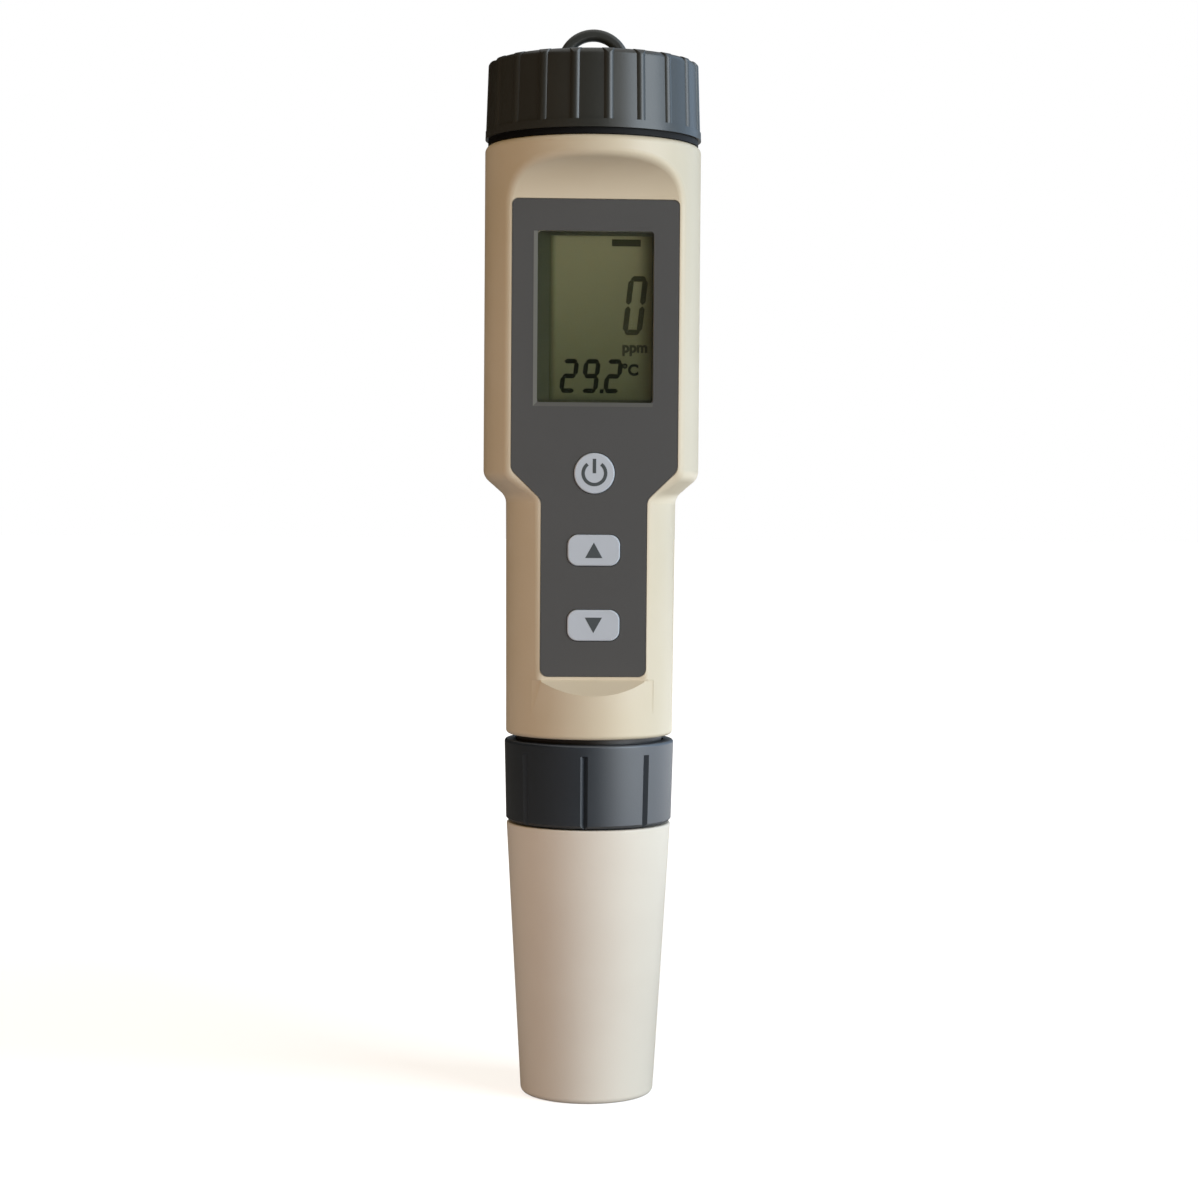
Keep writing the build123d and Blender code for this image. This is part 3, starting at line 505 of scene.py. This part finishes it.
# %% The four threads
couplings = {c["joint"]: c["ratio"] for c in frame["record"]["behaviour"]["couplings"]}
cap_pitch = 2 * pi / couplings["cap_turn"]
nut_pitch = 2 * pi / couplings["collar_turn"]
NECK_RADIUS = 16.7 * MM
CAP_BORE = 17.0 * MM
SPIGOT_RADIUS = 12.9 * MM
NUT_BORE = 13.2 * MM
RIDGE_HEIGHT = 0.2 * MM
RIDGE_HALF_WIDTH = 0.55 * MM
NECK_FOOT = 172.0 * MM
SPIGOT_FOOT = 56.0 * MM
tree = thread_tree()
threads = (
    ("neck_thread", "barrel", "barrel_plastic", NECK_RADIUS, cap_pitch, 1.7, NECK_FOOT),
    ("cap_thread", "screw_cap", "cap_plastic", CAP_BORE, cap_pitch, 1.7, NECK_FOOT + cap_pitch / 2),
    ("spigot_thread", "barrel", "barrel_plastic", SPIGOT_RADIUS, nut_pitch, 2.2, SPIGOT_FOOT),
    ("nut_thread", "ring_nut", "cap_plastic", NUT_BORE, nut_pitch, 2.0, SPIGOT_FOOT + nut_pitch / 2),
)
for name, body, slot, radius, pitch, turns, foot in threads:
    ridge = grown(name, tree, {
        "Radius": radius, "Pitch": pitch, "Turns": turns, "Foot": foot, "Ridge height": RIDGE_HEIGHT,
        "Ridge width": RIDGE_HALF_WIDTH, "Finish": finishes[slot]})
    for face in ridge.data.polygons:
        face.use_smooth = False
    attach(ridge, body)
    start, later = (ridge.data.vertices[n].co for n in (0, OUTLINE_CORNERS * 6))
    right_handed = start.cross(later).z * (later.z - start.z) > 0
    print(name, "pitch", round(pitch * 1000, 2), "mm, right-handed:", right_handed)

# %% [markdown]
# ## Flat signs and figures
# The signs on the keys are printed, and the figures in the display are dark areas of the liquid
# crystal. Both are very thin plates with sharp outlines. A picture texture would do in a game, but it
# needs a file and goes soft when one comes close. Here each sign is an outline in millimetres, made a
# plate a few hundredths of a millimetre thick, which stays sharp at any distance.

# %% Plates from outlines
THICKNESS = 0.02


def plate(name, outlines, face_mm, finish):
    """A thin plate for each outline of (x, z) points in mm, on a face that far before the axis."""
    form = bmesh.new()
    for outline in outlines:
        back = [form.verts.new((x * MM, -face_mm * MM, z * MM)) for x, z in outline]
        bottom = form.faces.new(back)
        raised = bmesh.ops.extrude_face_region(form, geom=[bottom])
        moved = [v for v in raised["geom"] if isinstance(v, bmesh.types.BMVert)]
        bmesh.ops.translate(form, verts=moved, vec=(0, -THICKNESS * MM, 0))
    bmesh.ops.triangulate(form, faces=form.faces[:])
    bmesh.ops.recalc_face_normals(form, faces=form.faces[:])
    mesh = bpy.data.meshes.new(name)
    form.to_mesh(mesh)
    form.free()
    mesh.materials.append(finish)
    piece = bpy.data.objects.new(name, mesh)
    scene.collection.objects.link(piece)
    return piece


def arc_band(x, z, radius, width, start, end, steps=32):
    """Outline of a round band between two angles in degrees, counted from the right, anticlockwise."""
    angles = [radians(start + (end - start) * step / steps) for step in range(steps + 1)]
    outer = [(x + radius * cos(a), z + radius * sin(a)) for a in angles]
    hole = radius - width
    inner = [(x + hole * cos(a), z + hole * sin(a)) for a in reversed(angles)]
    return outer + inner


def middle(node):
    """Middle of a solid's front in mm: x and z, and the depth of its face."""
    low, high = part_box(node)
    return (low.x + high.x) / 2 / MM, (low.z + high.z) / 2 / MM, -low.y / MM


# %% [markdown]
# The top key carries the common on-off sign, a broken ring with a bar, and the other two a triangle
# each, pointing up and down. They ride on the keys, so they go in when a key is pressed.

# %% Signs on the keys
RING_RADIUS = 2.25
STROKE = 0.6
RING_GAP_HALF = 37
BAR_TOP = 2.5
TRIANGLE_HALF = 1.5
TRIANGLE_HEIGHT = 2.7

x, z, face = middle("power_key")
ring = arc_band(x, z, RING_RADIUS, STROKE, 90 + RING_GAP_HALF, 450 - RING_GAP_HALF)
bar = [(x - STROKE / 2, z), (x + STROKE / 2, z), (x + STROKE / 2, z + BAR_TOP),
       (x - STROKE / 2, z + BAR_TOP)]
power_sign = plate("power_sign", [ring, bar], face, sign_ink)
signs = [(power_sign, "power_button")]
for key, body, way in (("up_key", "up_button", 1), ("down_key", "down_button", -1)):
    x, z, face = middle(key)
    reach = way * TRIANGLE_HEIGHT / 2
    triangle = [(x - TRIANGLE_HALF, z - reach), (x + TRIANGLE_HALF, z - reach), (x, z + reach)]
    signs.append((plate(key.replace("_key", "_sign"), [triangle], face, sign_ink), body))
for sign, body in signs:
    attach(sign, body)
    print(sign.name, "rides on", body)

# %% [markdown]
# The display shows a salinity of 0 above, with its unit, and a temperature below. Such displays draw
# each figure from seven bars, leaning a little to the right. One function makes a figure from the
# letters of the bars that are on: a is the top bar, then clockwise b, c, d, e and f, and g is the
# middle one. The sizes are in millimetres: the lower left corner of a figure, its width, its height and
# the width of its bars. The gap between two bars is a share of that width.

# %% Figures of the display
LEAN = tan(radians(6.5))
BARS_ON = {"0": "abcdef", "2": "abged", "9": "abcdfg"}
BAR_GAP = 0.12
LARGE = {"x": 4.75, "z": 134.0, "width": 3.4, "height": 10.2, "bar": 0.95}
SMALL = {"z": 123.9, "width": 2.9, "height": 5.9, "bar": 0.8}
SMALL_STARTS = (-6.15, -2.4, 1.5)
TOP_BAR = [(2.9, 149.3), (7.9, 149.3), (7.9, 150.5), (2.9, 150.5)]
POINT = [(0.95, 123.9), (1.6, 123.9), (1.67, 124.6), (1.02, 124.6)]
glass_face = middle("lcd_glass")[2]


def seven_bars(figure, x, z, width, height, bar):
    """Outlines of the bars that are on in one figure, whose lower left corner is at x, z."""
    gap = bar * BAR_GAP
    half = height / 2
    tip = bar / 2

    def across(level):
        left, right = gap + tip * 0.5, width - gap - tip * 0.5
        return [(left, level), (left + tip, level + tip), (right - tip, level + tip),
                (right, level), (right - tip, level - tip), (left + tip, level - tip)]

    def upright(side, low, high):
        low, high = low + gap, high - gap
        return [(side, low), (side + tip, low + tip), (side + tip, high - tip),
                (side, high), (side - tip, high - tip), (side - tip, low + tip)]

    bars = {
        "a": across(height - tip), "g": across(half), "d": across(tip),
        "f": upright(tip, half, height - tip), "b": upright(width - tip, half, height - tip),
        "e": upright(tip, tip, half), "c": upright(width - tip, tip, half),
    }
    return [[(x + px + pz * LEAN, z + pz) for px, pz in bars[letter]] for letter in BARS_ON[figure]]


upper_shapes = seven_bars("0", **LARGE) + [TOP_BAR]
shapes = []
for figure, x in zip("292", SMALL_STARTS):
    shapes += seven_bars(figure, x, **SMALL)
shapes.append(POINT)
for name, outlines, ink in (("display_figures", shapes, display_ink),
                            ("display_upper_figures", upper_shapes, upper_ink)):
    figures = plate(name, outlines, glass_face, ink)
    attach(figures, "barrel")
    print(name, "has", len(outlines), "areas")

# %% [markdown]
# The two units, ppm and degrees Celsius, are set in Blender's own plain face, as a text object. It is
# made a mesh before it gets its place, because a finished piece keeps its object at the origin.

# %% Units of the display
BOLDER = 0.11
# For each unit: its words, its lower left corner and its height in millimetres, and its ink.
UNITS = (
    ("unit_salinity", "ppm", 4.8, 131.05, 2.5, upper_ink),
    ("unit_temperature", "°C", 4.8, 127.1, 2.6, display_ink),
)


def lettering(name, words, x, z, height, face_mm, finish):
    """Plain lettering as a thin mesh on the display side, its lower left corner at x, z in mm."""
    curve = bpy.data.curves.new(name, "FONT")
    curve.body = words
    curve.size = height * MM
    curve.extrude = THICKNESS / 2 * MM
    curve.offset = BOLDER * MM
    writer = bpy.data.objects.new(name + "_writer", curve)
    scene.collection.objects.link(writer)
    graph = bpy.context.evaluated_depsgraph_get()
    mesh = bpy.data.meshes.new_from_object(writer.evaluated_get(graph), depsgraph=graph)
    bpy.data.objects.remove(writer)
    mesh.name = name
    mesh.transform(Matrix.Rotation(radians(90), 4, "X"))
    mesh.transform(Matrix.Translation((x * MM, -(face_mm + THICKNESS / 2) * MM, z * MM)))
    mesh.materials.clear()
    mesh.materials.append(finish)
    piece = bpy.data.objects.new(name, mesh)
    scene.collection.objects.link(piece)
    return piece


for name, words, x, z, height, ink in UNITS:
    unit = lettering(name, words, x, z, height, glass_face, ink)
    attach(unit, "barrel")
    print(name, "width in mm:", round(unit.dimensions.x * 1000, 2))

# %% [markdown]
# The film is cut out around the window. Its cut edge catches light where it faces the lamp, on the
# left of the window and at the foot, and stays dark above and on the right. Two flat strips that meet
# in a mitre draw that fine line as a painted highlight. The block of the window is wider than the
# opening by a flange that lies behind the film.

# %% Painted highlight on the cut edge around the window
EDGE = 0.7
FLANGE = 0.9

window_low, window_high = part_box("window_lens")
film_face = middle("front_overlay")[2]
half = window_high.x / MM - FLANGE
foot, top = window_low.z / MM + FLANGE, window_high.z / MM - FLANGE
# Two strips lighter than the film: a painted highlight along the cut edge.
edges = (
    ("window_edge_left", edge_highlight, [(-half, foot), (-half, top), (-half - EDGE, top),
                                     (-half - EDGE, foot - EDGE)]),
    ("window_edge_foot", foot_highlight, [(-half, foot), (-half - EDGE, foot - EDGE),
                                     (half, foot - EDGE), (half, foot)]),
)
for name, finish, outline in edges:
    edge = plate(name, [outline], film_face, finish)
    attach(edge, "barrel")
print("opening of the window in mm:", round(2 * half, 2), "by", round(top - foot, 2))

# %% [markdown]
# ## The studio
# The photograph was lit by one large soft lamp on the right, a little in front, against white, with
# the left side facing a dim, warm room. The world stands for the white and the room at once: it is
# plain white where the camera, a gloss or the clear window sees it, and a dim warm colour where it
# only lights. Light Path tells the two apart.

# %% World
WHITE = (1.0, 1.0, 1.0, 1.0)
FILL = (0.25, 0.208, 0.15, 1.0)

world = bpy.data.worlds.new("studio")
scene.world = world
world.use_nodes = True
world.node_tree.nodes.clear()
sky = world.node_tree
ray = add_node(sky, "ShaderNodeLightPath").outputs
seen = maths(sky, "MAXIMUM", ray["Is Camera Ray"], ray["Is Glossy Ray"])
shown = maths(sky, "MAXIMUM", seen, ray["Is Transmission Ray"])
back = add_node(sky, "ShaderNodeBackground", {
    "Color": blend(sky, shown, FILL, WHITE), "Strength": 1.0})
add_node(sky, "ShaderNodeOutputWorld", {"Surface": back.outputs["Background"]})
print("fill light:", FILL[:3])

# %% [markdown]
# A big area lamp, cool like a window, gives the key light. Three small dim lamps close to the meter
# stand for what the table and the room throw back: two lie low beside the foot, and a warm one hangs
# on the left at the height of the cap. They light and show in no gloss. An angle says how far a lamp
# stands to the right of the meter's front, in degrees. Distances and heights are in metres.

# %% Lamps
KEY_SIZE = (0.8, 0.8)
SMALL_SIZE = (0.16, 0.05)
SMALL_DISTANCE = 0.24
LOW, HIGH = 0.03, 0.2
middle_height = (cad_box[0].z + cad_box[1].z) / 2


def soft_lamp(name, angle, height, distance, size, watts, colour):
    """An area lamp that faces the meter, at an angle to the right of its front."""
    spot = Vector((sin(radians(angle)) * distance, -cos(radians(angle)) * distance, height))
    light = bpy.data.lights.new(name, "AREA")
    light.shape = "RECTANGLE"
    light.size, light.size_y = size
    light.energy = watts
    light.color = colour
    lamp = bpy.data.objects.new(name, light)
    scene.collection.objects.link(lamp)
    lamp.location = spot
    lamp.rotation_euler = (spot - Vector((0, 0, middle_height))).to_track_quat("Z", "Y").to_euler()
    lamp.visible_camera = False
    print(name, "at", [round(c, 2) for c in spot])
    return lamp


soft_lamp("key_lamp", 56, 0.45, 1.1, KEY_SIZE, 9.7, (0.745, 0.87, 1.0))
for name, angle, height, watts, colour in (
        ("left_bounce", -38, LOW, 0.1, (0.95, 0.76, 0.8)),
        ("right_bounce", 60, LOW, 0.1, (0.95, 0.97, 0.95)),
        ("room_glow", -40, HIGH, 0.055, (1.0, 0.52, 0.05))):
    small = soft_lamp(name, angle, height, SMALL_DISTANCE, SMALL_SIZE, watts, colour)
    small.visible_glossy = False

# %% [markdown]
# Dark plastic shows mostly what it mirrors. Against white all round, the cap would look pale grey, and
# in the photograph its left half is almost black and its right half has a cool sheen. Tall cards round
# the meter give it that to mirror. The camera doesn't see them, and they neither light nor shade.

# %% Cards for the gloss
CARD_TOP = 1.4


def gloss_card(name, angle, distance, width, shade, strength=1.0):
    """A tall glowing card that only a gloss or the window sees, at an angle to the right."""
    material, tree, _ = new_material(name)
    glow = add_node(tree, "ShaderNodeEmission", {"Color": paint(shade), "Strength": strength})
    close_material(tree, glow.outputs["Emission"])
    facing = Vector((sin(radians(angle)), -cos(radians(angle)), 0))
    across = Vector((cos(radians(angle)), sin(radians(angle)), 0)) * width / 2
    feet = [facing * distance - across, facing * distance + across]
    tops = [foot + Vector((0, 0, CARD_TOP)) for foot in reversed(feet)]
    mesh = bpy.data.meshes.new(name)
    mesh.from_pydata(feet + tops, [], [(0, 1, 2, 3)])
    mesh.materials.append(material)
    card = bpy.data.objects.new(name, mesh)
    scene.collection.objects.link(card)
    card.visible_camera = False
    card.visible_diffuse = False
    card.visible_shadow = False
    print(name, "at", angle, "degrees")


gloss_card("left_card", -85, 0.9, 1.7, "#1E1A14")
gloss_card("back_left_card", -150, 1.0, 1.3, "#1E1A14")
gloss_card("front_card", -18, 1.5, 2.0, "#2E2C28")
gloss_card("right_card", 108, 1.0, 1.3, "#B9D4F2", strength=1.8)
gloss_card("back_right_card", 162, 1.0, 0.75, "#8F9AA6")

# %% [markdown]
# The floor is white. For the camera it glows a little less close to the meter, so that the shadow
# stays, and fully further out, where it meets the white of the world without an edge. It sends back
# less light than it shows, because the forms that look down are rather dark in the photograph, and on
# the right side it glows for a gloss, which gives the ring nut its cool sheen.

# %% Floor
FLOOR_HALF = 6.0
SEEN_WHITE = (0.94, 0.94, 0.94, 1.0)
BOUNCED_GREY = (0.38, 0.38, 0.38, 1.0)
GLOW_NEAR = 0.7
NEAR, FAR = 0.1, 0.45
SHEEN = 2.6
SHEEN_START, SHEEN_END = 0.02, 0.4

material, tree, place = new_material("studio_floor_white")
seen_by = add_node(tree, "ShaderNodeLightPath").outputs
away = add_node(tree, "ShaderNodeVectorMath", {0: place}, operation="LENGTH")
spread = ramp(tree, away.outputs["Value"], NEAR, FAR, GLOW_NEAR, 1.0, kind="SMOOTHSTEP")
colour = blend(tree, seen_by["Is Camera Ray"], BOUNCED_GREY, SEEN_WHITE)
matt = add_node(tree, "ShaderNodeBsdfDiffuse", {"Color": colour})
lift = maths(tree, "MULTIPLY", seen_by["Is Camera Ray"], spread)
aside = add_node(tree, "ShaderNodeSeparateXYZ", {"Vector": place}).outputs["X"]
sheen = ramp(tree, aside, SHEEN_START, SHEEN_END, 0.0, SHEEN, kind="SMOOTHSTEP")
mirrored = maths(tree, "MULTIPLY", seen_by["Is Glossy Ray"], sheen)
glow = add_node(tree, "ShaderNodeEmission", {
    "Color": WHITE, "Strength": maths(tree, "ADD", lift, mirrored)})
both = add_node(tree, "ShaderNodeAddShader", {0: matt.outputs["BSDF"], 1: glow.outputs["Emission"]})
close_material(tree, both.outputs["Shader"])
corners = [(-FLOOR_HALF, -FLOOR_HALF, 0), (FLOOR_HALF, -FLOOR_HALF, 0), (FLOOR_HALF, FLOOR_HALF, 0),
           (-FLOOR_HALF, FLOOR_HALF, 0)]
mesh = bpy.data.meshes.new("floor")
mesh.from_pydata(corners, [], [(0, 1, 2, 3)])
mesh.materials.append(material)
floor = bpy.data.objects.new("floor", mesh)
scene.collection.objects.link(floor)
print("floor, metres across:", 2 * FLOOR_HALF)

# %% [markdown]
# ## The camera
# The photograph was taken from close by: the rims of the caps bend like shallow bowls, up above eye
# height and down below it. How much they bend gives the distance, about half a metre, and the height
# at which a rim would look straight is the height of the camera. The meter is turned a little, so the
# camera stands a few degrees to its left. Then the camera is aimed: yaw, pitch and roll are small
# turns that put the meter where it is in the picture. Distances are in metres, turns in degrees, and
# the lens and the sensor, as on a real camera, in millimetres.

# %% The camera
CAMERA_DISTANCE = 0.46
CAMERA_HEIGHT = 0.1059
CAMERA_LEFT = 3.0
LENS = 77.95
SENSOR_WIDTH = 36.0
YAW = 0.2
PITCH = -2.25
ROLL = 0.42

camera_data = bpy.data.cameras.new("camera")
camera_data.lens = LENS
camera_data.sensor_width = SENSOR_WIDTH
camera = bpy.data.objects.new("camera", camera_data)
scene.collection.objects.link(camera)
scene.camera = camera
camera.matrix_world = (
    Matrix.Translation((-CAMERA_DISTANCE * sin(radians(CAMERA_LEFT)),
                        -CAMERA_DISTANCE * cos(radians(CAMERA_LEFT)), CAMERA_HEIGHT))
    @ Matrix.Rotation(radians(-CAMERA_LEFT - YAW), 4, "Z")
    @ Matrix.Rotation(radians(90 + PITCH), 4, "X")
    @ Matrix.Rotation(radians(ROLL), 4, "Z"))
scene.view_settings.view_transform = "Standard"
print("camera at", [round(c, 3) for c in camera.location])
